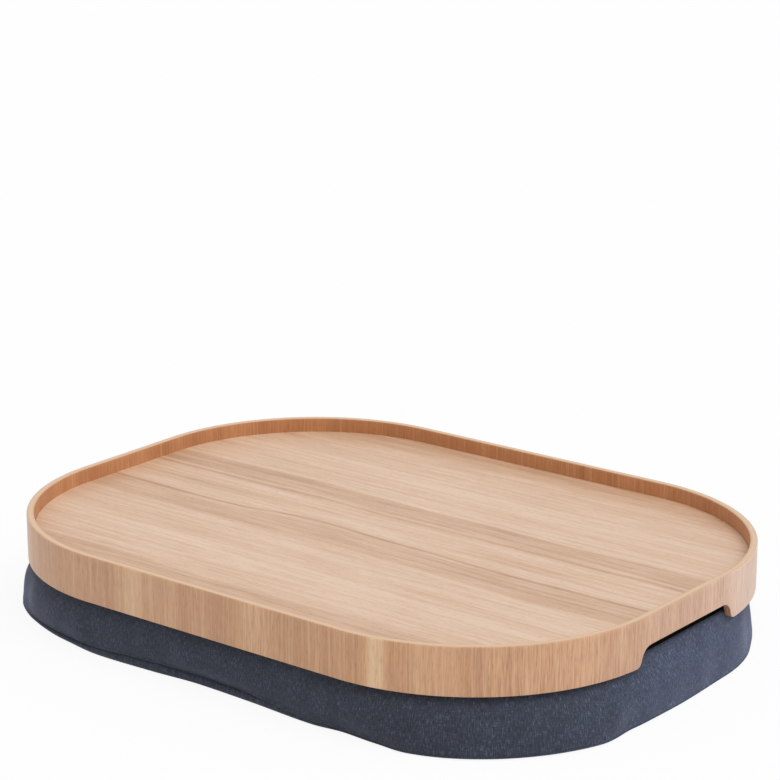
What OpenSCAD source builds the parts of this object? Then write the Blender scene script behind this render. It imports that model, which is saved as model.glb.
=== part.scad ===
// Lap tray: a bent-rim veneered tray held by hook and loop tape on a bead-filled cushion.
// Millimetres. +X along the tray, +Y to the back, +Z up, origin on the lap under the middle.

/* [Tray] */
// Length of the tray over its rim
tray_l = 430; // [390:5:470]
// Width of the tray over its rim
tray_w = 325; // [290:5:360]
// Outer radius of the tray's corners in plan
corner_r = 121; // [105:1:135]
// Height of the bent rim
rim_h = 28.6; // [27:0.2:34]
// Depth of the panel's face below the rim's top
recess_depth = 9.3; // [8:0.1:10]

/* [Plywood] */
// Thickness of every face veneer
veneer_t = 0.6; // [0.4:0.1:0.8]
// Thickness of each of the rim's three bent plies
ply_t = 1.1; // [0.9:0.1:1.5]
// Thickness of the panel's core
core_t = 3.8; // [3:0.1:4.5]

/* [Finger grips] */
// Height of the grips cut into the rim's lower edge
grip_h = 10.8; // [9:0.2:12]
// Width of each grip at the rim's lower edge
grip_w = 102; // [90:1:115]
// Radius of the rounded lip at each end of a grip
grip_lip_r = 4.5; // [3:0.5:8]
// Radius of the hollow above that lip
grip_hollow_r = 9; // [8:0.5:20]

/* [Cushion] */
// Height of the rim's lower edge above the lap
rim_base_z = 33.4; // [30:0.2:42]
// Thickness of the canvas cover
cover_t = 1; // [0.7:0.1:1.4]
// Thickness of the cotton liner round the beads
liner_t = 0.5; // [0.3:0.1:0.8]
// Slack between the liner and the cover's sides
liner_slack = 3; // [2.5:0.1:5]
// How far the long sides draw in where they meet the lap
long_side_draw = 5.5; // [3:0.5:10]
// How far the sides stand out all round, where they are fullest
side_swell = 0.8; // [0.4:0.1:1.4]
// How much further the short sides stand out
short_side_swell = 1.2; // [0:0.1:3]
// How far the front left corner stands out from the rim
front_left_swell = 4; // [0:0.5:6]
// How far the front right and back left corners stand out from the rim
middle_swell = 4; // [0:0.5:5]
// How far the back right corner stands out from the rim: below zero, it stands in
back_right_swell = -2; // [-3:0.5:4]

/* [Hook and loop tape] */
// Width of the tape
tape_strip_w = 20; // [16:1:25]
// How far the strips stop short of the corners' arcs
strip_end_margin = 4; // [1:0.5:15]
// Distance from the tray's edge to the strips
strip_inset = 30; // [29:0.5:31]
// Thickness of the hook strips
hook_t = 1.2; // [0.8:0.1:1.6]
// Thickness of the loop strips
loop_t = 1; // [0.8:0.1:1.4]

/* [Zip] */
// How far the opening in the cover stops short of the corners' arcs
zip_end_margin = 4; // [3:0.5:30]
// Width of each half of the closed coil
coil_w = 2; // [1.6:0.1:2.4]
// Thickness of the coil
coil_t = 1.6; // [1.2:0.1:2]
// Thickness of the woven zip tapes
zip_tape_t = 0.5; // [0.3:0.1:0.6]
// Length of the slider
slider_l = 10; // [8:0.5:12]
// Thickness of the slider's plates and flanges
slider_wall = 0.9; // [0.7:0.1:1]
// Length of the pull tab from its pivot to its end
pull_l = 24; // [16:1:30]

/* [Hidden] */
$fn = 96;

oak = [0.82, 0.66, 0.52];
oak_edge = [0.62, 0.43, 0.31];
canvas = [0.25, 0.28, 0.34];
tape_black = [0.1, 0.1, 0.12];
cotton = [0.9, 0.89, 0.86];
zinc = [0.45, 0.46, 0.48];

// How far every cutter runs past what it cuts
cut_over = 5;
// What lies on another body but touches in use is drawn this far apart
soft_gap = 0.3;

// Heights, from the lap up
wall_t = 2 * veneer_t + 3 * ply_t;
panel_t = core_t + 2 * veneer_t;
panel_top_z = rim_base_z + rim_h - recess_depth;
panel_base_z = panel_top_z - panel_t;
cushion_top_z = panel_base_z - hook_t - soft_gap - loop_t;
crown_gap = 0.8;
crown_z = panel_base_z - crown_gap;

// The straight half lengths between the corners' arcs
long_half = tray_l / 2 - corner_r;
short_half = tray_w / 2 - corner_r;

// The tray's outline, drawn in by inset
module outline(inset) {
    square([2 * long_half, tray_w - 2 * inset], center = true);
    square([tray_l - 2 * inset, 2 * short_half], center = true);
    for (sx = [-1, 1], sy = [-1, 1])
        translate([sx * long_half, sy * short_half]) circle(corner_r - inset);
}

// The panel: a core let into a groove in the rim's inner layers, between two veneers that
// stop just short of the rim's face
groove_depth = veneer_t + ply_t;
core_inset = wall_t - groove_depth;
veneer_gap = 0.1;

module panel_layer(inset, low, thickness) {
    translate([0, 0, panel_base_z + low]) linear_extrude(thickness) outline(inset);
}

module panel_core() { color(oak_edge) panel_layer(core_inset, veneer_t, core_t); }
module panel_face_veneer() {
    color(oak) panel_layer(wall_t + veneer_gap, veneer_t + core_t, veneer_t);
}
module panel_back_veneer() { color(oak) panel_layer(wall_t + veneer_gap, 0, veneer_t); }

// The rim's section: x is the distance in from its outer face, y the height over its lower edge.
// Its upper edges are rounded in steps to the veneers' depth.
edge_steps = 2;
rounded_edge = [for (i = [0 : edge_steps]) let (a = 90 * i / edge_steps)
    [veneer_t * (1 - cos(a)), rim_h - veneer_t * (1 - sin(a))]];

module wall_section() {
    polygon(concat(
        [[0, 0]], rounded_edge,
        [for (i = [edge_steps : -1 : 0]) [wall_t - rounded_edge[i][0], rounded_edge[i][1]]],
        [[wall_t, 0]]
    ));
}

// The part of that section between two depths and two heights
module layer_section(outer, inner, low, high) {
    intersection() {
        wall_section();
        translate([outer, low]) square([inner - outer, high - low]);
    }
}

// Sweeps a section round the outline: two long straights, two short ones and four corners
module round_the_rim() {
    for (half_turn = [0, 180])
        rotate([0, 0, half_turn]) {
            translate([-long_half, -tray_w / 2, 0])
                rotate([90, 0, 90]) linear_extrude(2 * long_half) children();
            translate([tray_l / 2, -short_half, 0])
                rotate([90, 0, 180]) linear_extrude(2 * short_half) children();
            for (flip = [0, 1])
                mirror([flip, 0, 0])
                    translate([long_half, -short_half, 0]) rotate([0, 0, -90])
                        rotate_extrude(angle = 90) translate([corner_r, 0]) mirror([1, 0]) children();
        }
}

// The grip's outline on the rim's end: a flat top and S-shaped ends of two tangent arcs
arc_parts = 8;
grip_turn = acos(1 - grip_h / (grip_lip_r + grip_hollow_r));
grip_flat_y = grip_w / 2 - (grip_lip_r + grip_hollow_r) * sin(grip_turn);
grip_end = concat(
    [[grip_w / 2, -cut_over]],
    [for (i = [0 : arc_parts]) let (a = grip_turn * i / arc_parts)
        [grip_w / 2 - grip_lip_r * sin(a), grip_lip_r * (1 - cos(a))]],
    [for (i = [arc_parts - 1 : -1 : 0]) let (a = grip_turn * i / arc_parts)
        [grip_flat_y + grip_hollow_r * sin(a), grip_h - grip_hollow_r * (1 - cos(a))]]
);

module grip_outline() {
    back = len(grip_end) - 1;
    polygon(concat(grip_end, [for (i = [back : -1 : 0]) [-grip_end[i][0], grip_end[i][1]]]));
}

// One layer of the rim, with the grips cut through both ends
module rim_layer(outer, inner, low = 0, high = rim_h) {
    translate([0, 0, rim_base_z])
        difference() {
            round_the_rim() layer_section(outer, inner, low, high);
            translate([-tray_l / 2 - cut_over, 0, 0]) rotate([90, 0, 90])
                linear_extrude(tray_l + 2 * cut_over) grip_outline();
        }
}

// A layer that the panel's groove parts in two
module grooved_layer(outer, inner) {
    rim_layer(outer, inner, 0, panel_base_z + veneer_t - rim_base_z);
    rim_layer(outer, inner, panel_top_z - veneer_t - rim_base_z, rim_h);
}

module rim_outer_veneer() { color(oak) rim_layer(0, veneer_t); }
module rim_outer_ply() { color(oak_edge) rim_layer(veneer_t, veneer_t + ply_t); }

// The middle ply's grain stands upright, so it is laid in lengths that butt where the bends begin
butt_gap = 0.1;
module butt_joints() {
    for (side = [-1, 1]) {
        translate([side * long_half - butt_gap / 2, -tray_w / 2, rim_base_z - cut_over])
            cube([butt_gap, tray_w, rim_h + 2 * cut_over]);
        translate([-tray_l / 2, side * short_half - butt_gap / 2, rim_base_z - cut_over])
            cube([tray_l, butt_gap, rim_h + 2 * cut_over]);
    }
}
module rim_middle_ply() {
    color(oak_edge)
        difference() {
            rim_layer(veneer_t + ply_t, veneer_t + 2 * ply_t);
            butt_joints();
        }
}

module rim_inner_ply() { color(oak_edge) grooved_layer(veneer_t + 2 * ply_t, wall_t - veneer_t); }
module rim_inner_veneer() { color(oak) grooved_layer(wall_t - veneer_t, wall_t); }

// Hook strips glued under the panel, and the loop strips sewn on the cushion that they mesh with
strip_mid = strip_inset + tape_strip_w / 2;
long_strip_l = 2 * (long_half - strip_end_margin);
short_strip_l = 2 * (short_half - strip_end_margin);

module long_strip(side, z, t) {
    translate([-long_strip_l / 2, side * (tray_w / 2 - strip_mid) - tape_strip_w / 2, z])
        cube([long_strip_l, tape_strip_w, t]);
}

module short_strip(side, z, t) {
    translate([side * (tray_l / 2 - strip_mid) - tape_strip_w / 2, -short_strip_l / 2, z])
        cube([tape_strip_w, short_strip_l, t]);
}

hook_z = panel_base_z - hook_t;
module hook_strip_front() { color(tape_black) long_strip(-1, hook_z, hook_t); }
module hook_strip_back() { color(tape_black) long_strip(1, hook_z, hook_t); }
module hook_strip_left() { color(tape_black) short_strip(-1, hook_z, hook_t); }
module hook_strip_right() { color(tape_black) short_strip(1, hook_z, hook_t); }
module loop_strip_front() { color(tape_black) long_strip(-1, cushion_top_z, loop_t); }
module loop_strip_back() { color(tape_black) long_strip(1, cushion_top_z, loop_t); }
module loop_strip_left() { color(tape_black) short_strip(-1, cushion_top_z, loop_t); }
module loop_strip_right() { color(tape_black) short_strip(1, cushion_top_z, loop_t); }

// Stations round the cushion, one quarter as [x, y, angle] and the rest by mirroring
arc_steps = 7;
side_steps = 2;
quarter = concat(
    [for (i = [0 : side_steps - 1]) [long_half, short_half * i / side_steps, 0]],
    [for (i = [0 : arc_steps]) [long_half, short_half, 90 * i / arc_steps]],
    [for (i = [side_steps - 1 : -1 : 0]) [long_half * i / side_steps, short_half, 90]]
);
last = len(quarter) - 1;
stations = concat(
    [for (i = [0 : last - 1]) [quarter[i], 1, 1]],
    [for (i = [last : -1 : 1]) [quarter[i], -1, 1]],
    [for (i = [0 : last - 1]) [quarter[i], -1, -1]],
    [for (i = [last : -1 : 1]) [quarter[i], 1, -1]]
);

// The crown is flat in the middle, flat again under the strips, then falls to the top seam
crown_inset = 95;
strip_margin = 2;
seam_top_inset = 14;
seam_top_drop = 2.4;
seam_top_z = cushion_top_z - seam_top_drop;
top_rings = [
    [crown_inset, crown_z],
    [strip_inset + tape_strip_w + strip_margin, cushion_top_z],
    [strip_inset - strip_margin, cushion_top_z],
    [seam_top_inset, seam_top_z]
];

// The shoulder rounds from that seam down into the rim: shares of its width and of its height
rim_touch_inset = wall_t + soft_gap;
rim_touch_z = rim_base_z - soft_gap;
shoulder_shares = [[0.25, 0.58], [0, 0]];

// The open side below the rim, from full under the rim's face to drawn in at the lap:
// shares of the reach from its fullest line to the rim, and of the height over the lap
flat_high_share = 0.778;
flat_low_share = 0.27;
seam_bottom_share = 0.096;
side_shares = [
    [0.545, 0.96], [0.18, 0.874], [0, flat_high_share], [0, flat_low_share],
    [0.02, 0.168], [0.08, seam_bottom_share], [0.36, 0]
];
side_rings = [
    for (s = shoulder_shares)
        [rim_touch_inset + s[0] * (seam_top_inset - rim_touch_inset),
            rim_touch_z + s[1] * (seam_top_z - rim_touch_z)],
    for (s = side_shares) [s[0] * (rim_touch_inset + side_swell) - side_swell, s[1] * rim_base_z]
];
rings = concat(top_rings, side_rings);

// How much of the corners' and ends' swell, and of the long sides' draw, each ring takes
swell_shares = [0, 0, 0, 0, 0, 0, 0.3, 0.7, 1, 1, 1, 1, 0.8];
draw_shares = [0, 0, 0, 0, 0, 0, 0, 0, 0, 0, 0.25, 0.56, 1];
seam_bottom_z = seam_bottom_share * rim_base_z;

function corner_swell(sx, sy) =
    sx * sy > 0 ? (sx > 0 ? back_right_swell : front_left_swell) : middle_swell;

function swell(station) =
    let (a = station[0][2])
        corner_swell(station[1], station[2]) * pow(sin(2 * a), 2)
            + short_side_swell * pow(cos(a), 6);

// One ring's points, drawn in by side_in and pressed together by low_in and high_in
function ring_points(k, side_in, low_in, high_in) =
    let (z = low_in + rings[k][1] * (crown_z - low_in - high_in) / crown_z)
        [for (s = stations)
            let (
                a = s[0][2],
                inset = rings[k][0] + side_in - swell_shares[k] * swell(s)
                    + draw_shares[k] * long_side_draw * pow(sin(a), 6),
                reach = corner_r - inset
            )
                [s[1] * (s[0][0] + reach * cos(a)), s[2] * (s[0][1] + reach * sin(a)), z]];

// The cushion's whole form as one closed solid
module cushion_form(side_in = 0, low_in = 0, high_in = 0) {
    n = len(stations);
    rows = len(rings);
    foot = (rows - 1) * n;
    middle = rows * n;
    polyhedron(
        points = concat(
            [for (k = [0 : rows - 1]) each ring_points(k, side_in, low_in, high_in)],
            [[0, 0, crown_z - high_in], [0, 0, low_in]]
        ),
        faces = concat(
            [for (i = [0 : n - 1]) [middle, (i + 1) % n, i]],
            [for (k = [0 : rows - 2], i = [0 : n - 1])
                let (here = k * n + i, next = k * n + (i + 1) % n)
                    each [[here, next, next + n], [here, next + n, here + n]]],
            [for (i = [0 : n - 1]) [middle + 1, foot + i, foot + (i + 1) % n]]
        )
    );
}

module cover_shell() {
    difference() {
        cushion_form();
        cushion_form(cover_t, cover_t, cover_t);
    }
}

// The part of a shape between two heights
module between(low, high) {
    intersection() {
        children();
        translate([-tray_l, -tray_w, low]) cube([2 * tray_l, 2 * tray_w, high - low]);
    }
}

// The zip lies in the flat strip of the back side; y is measured at the cover's face there
skin_y = tray_w / 2 + side_swell;
zip_l = 2 * (long_half - zip_end_margin);
zip_z = rim_base_z * (flat_high_share + flat_low_share) / 2;
zip_tape_h = rim_base_z * (flat_high_share - flat_low_share) / 2 - cover_t;
zip_slit = 0.9;
run_gap = 0.2;
slot_margin = 0.8;
stop_l = 2;
tape_end = 2;
coil_y = skin_y - cover_t;
tape_y = coil_y - zip_tape_t;
slider_inner_h = zip_slit / 2 + coil_w + run_gap;
slider_half_h = slider_inner_h + slider_wall;
slot_half_h = slider_half_h + slot_margin;

module cover_top() { color(canvas) between(seam_top_z, crown_z + cut_over) cover_shell(); }
module cover_bottom() { color(canvas) between(-cut_over, seam_bottom_z) cover_shell(); }
module cover_side_band() {
    color(canvas)
        difference() {
            between(seam_bottom_z, seam_top_z) cover_shell();
            translate([-zip_l / 2, tape_y, zip_z - slot_half_h])
                cube([zip_l, cover_t + cut_over, 2 * slot_half_h]);
        }
}

// The liner hangs loose inside the cover and rests on its bottom, full of beads
liner_top_gap = 0.4;
liner_in = cover_t + liner_slack;
liner_high_in = cover_t + liner_top_gap;
module bead_fill() {
    color(cotton) cushion_form(liner_in + liner_t, cover_t + liner_t, liner_high_in + liner_t);
}
module liner_shell() {
    difference() {
        cushion_form(liner_in, cover_t, liner_high_in);
        cushion_form(liner_in + liner_t, cover_t + liner_t, liner_high_in + liner_t);
    }
}
module liner_top() { color(cotton) between(zip_z, crown_z) liner_shell(); }
module liner_bottom() { color(cotton) between(-cut_over, zip_z) liner_shell(); }

// Each half of the zip: a woven tape behind the slot, with half the coil on its inner edge
module zip_half(side, y, z_low, h, t, x_low, x_high) {
    translate([x_low, y, zip_z + (side > 0 ? z_low : -z_low - h)]) cube([x_high - x_low, t, h]);
}

coil_open_x = -zip_l / 2 + 2 * stop_l;
coil_closed_x = zip_l / 2 - stop_l;
module zip_tape(side) {
    color(tape_black)
        zip_half(side, tape_y, zip_slit / 2, zip_tape_h - zip_slit / 2, zip_tape_t,
            -zip_l / 2 - tape_end, zip_l / 2 + tape_end);
}
module zip_coil(side) {
    color(tape_black)
        zip_half(side, coil_y, zip_slit / 2, coil_w, coil_t, coil_open_x, coil_closed_x);
}
module zip_tape_upper() { zip_tape(1); }
module zip_tape_lower() { zip_tape(-1); }
module zip_coil_upper() { zip_coil(1); }
module zip_coil_lower() { zip_coil(-1); }

module zip_closed_end_stops() {
    color(zinc) for (side = [-1, 1])
        zip_half(side, coil_y, zip_slit / 2, coil_w, coil_t, coil_closed_x, zip_l / 2);
}
module zip_open_end_stop() {
    color(zinc)
        translate([coil_open_x - stop_l, coil_y, zip_z - slider_inner_h])
            cube([stop_l, coil_t, 2 * slider_inner_h]);
}

// The slider stands at the closed end. Its post runs in the slit and joins its two plates.
slider_x = coil_closed_x - slider_l / 2 - run_gap;
post_l = 2.5;
plate_y = coil_y + coil_t + run_gap;
back_plate_y = tape_y - run_gap - slider_wall;
face_y = plate_y + slider_wall;
// The bail bridges the pull's pin, which lies on the slider's face
pin_r = 0.6;
bail_w = 2;
bail_half_l = slider_l / 3;
bail_h = 2 * pin_r + 2 * run_gap;
pivot_y = face_y + run_gap + pin_r;

module slider_bar(x_low, x_high, y_low, y_high, z_low, z_high) {
    translate([slider_x + x_low, y_low, zip_z + z_low])
        cube([x_high - x_low, y_high - y_low, z_high - z_low]);
}

module zip_slider() {
    half = slider_l / 2;
    post_half = zip_slit / 2 - run_gap / 2;
    color(zinc) {
        slider_bar(-half, half, plate_y, face_y, -slider_half_h, slider_half_h);
        slider_bar(-half, half, back_plate_y, back_plate_y + slider_wall, -slider_half_h, slider_half_h);
        for (z = [-slider_half_h, slider_inner_h])
            slider_bar(-half, half, coil_y + run_gap, face_y, z, z + slider_wall);
        slider_bar(half - post_l, half, back_plate_y, face_y, -post_half, post_half);
        for (x = [-bail_half_l - slider_wall, bail_half_l])
            slider_bar(x, x + slider_wall, plate_y, face_y + bail_h, -bail_w / 2, bail_w / 2);
        slider_bar(-bail_half_l - slider_wall, bail_half_l + slider_wall,
            face_y + bail_h, face_y + bail_h + slider_wall, -bail_w / 2, bail_w / 2);
    }
}

// The pull hangs on a pin through the bail and lies back over the closed coil
pull_w = 5.2;
arm_w = 0.8;
module zip_pull() {
    arm_z = bail_w / 2 + run_gap;
    reach = bail_half_l + 2 * slider_wall;
    color(zinc)
        translate([slider_x, pivot_y, zip_z]) {
            translate([0, 0, -arm_z - arm_w]) cylinder(r = pin_r, h = 2 * (arm_z + arm_w));
            for (z = [-arm_z - arm_w, arm_z])
                translate([-reach - arm_w, -pin_r, z]) cube([reach + arm_w, 2 * pin_r, arm_w]);
            translate([-pull_l + pull_w / 2, -pin_r, -pull_w / 2])
                cube([pull_l - pull_w / 2 - reach, 2 * pin_r, pull_w]);
            translate([-pull_l + pull_w / 2, pin_r, 0])
                rotate([90, 0, 0]) cylinder(d = pull_w, h = 2 * pin_r);
        }
}

panel_core();
panel_face_veneer();
panel_back_veneer();
rim_outer_veneer();
rim_outer_ply();
rim_middle_ply();
rim_inner_ply();
rim_inner_veneer();
hook_strip_front();
hook_strip_back();
hook_strip_left();
hook_strip_right();
loop_strip_front();
loop_strip_back();
loop_strip_left();
loop_strip_right();
cover_top();
cover_side_band();
cover_bottom();
liner_top();
liner_bottom();
bead_fill();
zip_tape_upper();
zip_tape_lower();
zip_coil_upper();
zip_coil_lower();
zip_closed_end_stops();
zip_open_end_stop();
zip_slider();
zip_pull();
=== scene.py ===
import math

import bmesh
import bpy
import numpy as np
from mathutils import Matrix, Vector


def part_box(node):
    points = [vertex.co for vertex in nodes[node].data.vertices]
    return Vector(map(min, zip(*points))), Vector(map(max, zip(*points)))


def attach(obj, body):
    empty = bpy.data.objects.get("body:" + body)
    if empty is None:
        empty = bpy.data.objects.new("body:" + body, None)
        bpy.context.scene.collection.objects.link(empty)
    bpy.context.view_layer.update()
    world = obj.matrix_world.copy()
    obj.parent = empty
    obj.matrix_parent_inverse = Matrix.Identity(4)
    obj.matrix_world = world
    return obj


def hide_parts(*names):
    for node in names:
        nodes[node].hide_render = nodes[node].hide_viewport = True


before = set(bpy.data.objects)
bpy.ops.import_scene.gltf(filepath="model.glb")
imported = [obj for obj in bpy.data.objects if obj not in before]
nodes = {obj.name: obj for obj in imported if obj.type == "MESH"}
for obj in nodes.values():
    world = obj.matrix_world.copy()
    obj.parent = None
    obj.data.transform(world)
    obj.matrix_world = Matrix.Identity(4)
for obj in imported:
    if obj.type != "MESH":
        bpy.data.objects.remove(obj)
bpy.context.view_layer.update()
scene = bpy.context.scene

# Camera: a long lens a little above the tray, off its right front corner. The tray fills the
# lower part of the picture.
camera_data = bpy.data.cameras.new("camera")
camera_data.sensor_width = 36
camera_data.lens = 120.49
camera = bpy.data.objects.new("camera", camera_data)
camera.location = (0.9296, -1.1748, 0.5760)
camera.rotation_euler = (math.radians(90 - 16.149), 0, math.radians(38.2716))
scene.collection.objects.link(camera)
scene.camera = camera

# Rim: a strip of five bent layers round the tray, sliced oak outside and in with the grain upright
# and three plies between. It is glued, sanded and lacquered matt, with a finger grip cut in each end.
MM = 0.001
CORNER_R = 121 * MM
VENEER_T = 0.6 * MM
PLY_T = 1.1 * MM
WALL_T = 2 * VENEER_T + 3 * PLY_T
TOP_EDGE_R = 0.75 * MM
LOW_EDGE_R = 0.4 * MM
GRIP_H = 10.8 * MM
GRIP_W = 102 * MM
GRIP_LIP_R = 4.5 * MM
GRIP_HOLLOW_R = 9 * MM
# The veneers' butt joint, in the left end
JOINT_WAY = 20.7 * MM

rim_low, rim_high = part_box("rim_outer_veneer")
LONG_HALF = rim_high.x - CORNER_R
SHORT_HALF = rim_high.y - CORNER_R

CORNER_WAY = CORNER_R * math.pi / 2
ways = [SHORT_HALF, CORNER_WAY, 2 * LONG_HALF, CORNER_WAY, 2 * SHORT_HALF, CORNER_WAY, 2 * LONG_HALF,
        CORNER_WAY, SHORT_HALF]
marks = np.concatenate([[0], np.cumsum(ways)])
ROUND = marks[-1]
mark_x = LONG_HALF * np.array([-1, -1, -1, 1, 1, 1, 1, -1, -1, -1])
mark_y = SHORT_HALF * np.array([0, -1, -1, -1, -1, 1, 1, 1, 1, 0])
mark_turn = np.radians([180, 180, 270, 270, 360, 360, 450, 450, 540, 540])


def outline(way, inset):
    """Points of the tray's outline drawn in by inset, at each way round from the left end's middle."""
    way = np.mod(way, ROUND)
    turn = np.interp(way, marks, mark_turn)
    x = np.interp(way, marks, mark_x) + (CORNER_R - inset) * np.cos(turn)
    y = np.interp(way, marks, mark_y) + (CORNER_R - inset) * np.sin(turn)
    return x, y


def way_off(y, inset):
    """How far round from an end's middle the outline reaches a distance from the middle line."""
    past = np.maximum(np.abs(y) - SHORT_HALF, 0)
    return np.sign(y) * (np.minimum(np.abs(y), SHORT_HALF) + CORNER_R * np.arcsin(past / (CORNER_R - inset)))


def piece(name, vertices, faces, smooth_angle=40):
    """A mesh object from points and faces, shaded smooth but for edges sharper than an angle."""
    mesh = bpy.data.meshes.new(name)
    mesh.from_pydata([tuple(v) for v in vertices], [], [tuple(f) for f in faces])
    mesh.validate()
    mesh.shade_smooth()
    mesh.set_sharp_from_angle(angle=math.radians(smooth_angle))
    made = bpy.data.objects.new(name, mesh)
    scene.collection.objects.link(made)
    return made


def grid_faces(number):
    """Quads between vertices whose numbers stand in a grid."""
    corners = np.stack([number[:-1, :-1], number[:-1, 1:], number[1:, 1:], number[1:, :-1]], -1)
    return corners.reshape(-1, 4).tolist()


def ring_faces(rows, columns, close_rows=False):
    """Quads of a grid whose columns close into a ring, and its rows too if asked."""
    number = np.arange(rows * columns).reshape(rows, columns)
    return grid_faces(np.pad(number, ((0, int(close_rows)), (0, 1)), mode="wrap"))


def lay_uv(obj, name, values):
    """Writes a UV map from one (across, along) pair for each face corner."""
    layer = obj.data.uv_layers.new(name=name)
    layer.data.foreach_set("uv", np.asarray(values, np.float32).ravel())


# The section goes up the outer face, over the top and down the inner one
EDGE_POINTS = 5
arc = np.linspace(0, math.pi / 2, EDGE_POINTS)
section = [("low", LOW_EDGE_R * (1 - math.sin(a)), LOW_EDGE_R * (1 - math.cos(a))) for a in arc]
section += [("share", 0, s) for s in (0.2, 0.4, 0.6, 0.8)]
section += [("top", TOP_EDGE_R * (1 - math.cos(a)), TOP_EDGE_R * (1 - math.sin(a))) for a in arc]
section += [("top", WALL_T / 2, 0)] + [(kind, WALL_T - inset, value) for kind, inset, value in section[::-1]]
section += [("low", WALL_T / 2, 0)]

# Half a grip's edge from its middle: distance from the middle, height, and the edge's lean
STATION = 3 * MM
CURVE_POINTS = 9
most_lean = math.acos(1 - GRIP_H / (GRIP_LIP_R + GRIP_HOLLOW_R))
flat_half = GRIP_W / 2 - (GRIP_LIP_R + GRIP_HOLLOW_R) * math.sin(most_lean)
lean = np.linspace(0, most_lean, CURVE_POINTS)
flat = np.linspace(0, flat_half, round(flat_half / STATION), endpoint=False)
hollow = np.stack([flat_half + GRIP_HOLLOW_R * np.sin(lean),
                   GRIP_H - GRIP_HOLLOW_R * (1 - np.cos(lean)), lean], -1)
lip = np.stack([GRIP_W / 2 - GRIP_LIP_R * np.sin(lean), GRIP_LIP_R * (1 - np.cos(lean)), lean], -1)
half_grip = np.vstack([[(y, GRIP_H, 0) for y in flat], hollow, lip[-2::-1]])
grip = np.vstack([half_grip[:0:-1] * (-1, 1, -1), half_grip])

# Stations round the rim: where each is measured from, and the grip's three values there
mouth = way_off(GRIP_W / 2, 0)
plain = np.arange(mouth + STATION, ROUND / 2 - mouth - STATION / 2, STATION)
bare = np.zeros((len(plain), 3))
stations = np.vstack([
    np.column_stack([np.zeros(len(half_grip)), half_grip]),
    np.column_stack([plain, bare]),
    np.column_stack([np.full(len(grip), ROUND / 2), grip]),
    np.column_stack([plain + ROUND / 2, bare]),
    np.column_stack([np.full(len(half_grip) - 1, ROUND), grip[:len(half_grip) - 1]])])
start, off, height, lean = stations.T

rows, row_ways, depths = [], [], []
for kind, inset, value in section:
    lift = value if kind == "low" else LOW_EDGE_R
    share = {"low": 0, "share": value, "top": 1}[kind]
    low = rim_low.z + height + lift * np.cos(lean)
    way = start + way_off(off + (1 - share) * lift * np.sin(lean), inset)
    x, y = outline(way, inset)
    z = np.full_like(x, rim_high.z - value) if kind == "top" else low + share * (rim_high.z - low)
    rows.append(np.stack([x, y, z], -1))
    row_ways.append(way)
    depths.append(np.full(len(x), inset / MM))
rim_points = np.array(rows)
row_count, station_count = rim_points.shape[:2]
rim_faces = ring_faces(row_count, station_count, close_rows=True)
rim = piece("bent_rim", rim_points.reshape(-1, 3), rim_faces, 35)

# The veneers' way round starts at their joint
across = JOINT_WAY + (np.array(row_ways).ravel()[rim_faces] - JOINT_WAY) % ROUND
across += ROUND * (across < across.max(1, keepdims=True) - ROUND / 2)
lay_uv(rim, "grain", np.stack([across, rim_points[..., 2].ravel()[rim_faces]], -1))
depth = rim.data.attributes.new("depth", "FLOAT", "POINT")
depth.data.foreach_set("value", np.concatenate(depths).astype(np.float32))

# Face slots: the two veneers, the sanded top edge, which ends a quarter of the way down its rounding,
# and what is sawn at the grips and underneath
OUTER, INNER, TOP, SAWN = 0, 1, 2, 3
TOP_REACH = 0.25 * TOP_EDGE_R
slots = []
for (kind, inset, value), (next_kind, next_inset, next_value) in zip(section, section[1:] + section[:1]):
    depth_here = (inset + next_inset) / 2
    if kind == next_kind == "top" and (value + next_value) / 2 < TOP_REACH and depth_here > VENEER_T:
        slot = TOP
    elif depth_here < VENEER_T:
        slot = OUTER
    elif depth_here > WALL_T - VENEER_T:
        slot = INNER
    else:
        slot = SAWN
    slots += [slot] * station_count
rim.data.polygons.foreach_set("material_index", np.array(slots, np.int32))


def linear(code):
    """An sRGB hex colour as linear red, green, blue and alpha."""
    parts = [int(code[i:i + 2], 16) / 255 for i in (1, 3, 5)]
    return (*[p / 12.92 if p <= 0.04045 else ((p + 0.055) / 1.055) ** 2.4 for p in parts], 1)


def feed(tree, node, inputs):
    """Sets or links a node's inputs, by name or number."""
    for key, value in inputs.items():
        if isinstance(value, bpy.types.NodeSocket):
            tree.links.new(value, node.inputs[key])
        else:
            node.inputs[key].default_value = value


def add(tree, kind, inputs=None, out=0, stops=None, **settings):
    """Adds a node with its settings, inputs and ramp stops, and gives one output, or all of them."""
    made = tree.nodes.new("ShaderNode" + kind)
    for name, value in settings.items():
        setattr(made, name, value)
    feed(tree, made, inputs or {})
    if stops:
        elements = made.color_ramp.elements
        while len(elements) < len(stops):
            elements.new(0.5)
        for element, (place, colour) in zip(elements, stops):
            element.position = place
            element.color = linear(colour) if isinstance(colour, str) else (colour, colour, colour, 1)
    return made.outputs if out == "all" else made.outputs[out]


def new_material(name):
    """A material of one Principled shader, with its node tree and that shader."""
    made = bpy.data.materials.new(name)
    made.use_nodes = True
    return made, made.node_tree, made.node_tree.nodes["Principled BSDF"]


def stretched(tree, place, cell_mm, detail, shift, roughness=0.6):
    """A noise whose cells are so many millimetres one way and the other, moved by a shift."""
    scaled = add(tree, "Mapping", {"Vector": place, "Location": (*shift, 0),
                                   "Scale": (1000 / cell_mm[0], 1000 / cell_mm[1], 1)})
    return add(tree, "TexNoise", {"Vector": scaled, "Scale": 1, "Detail": detail, "Roughness": roughness},
               noise_dimensions="2D")


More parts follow.
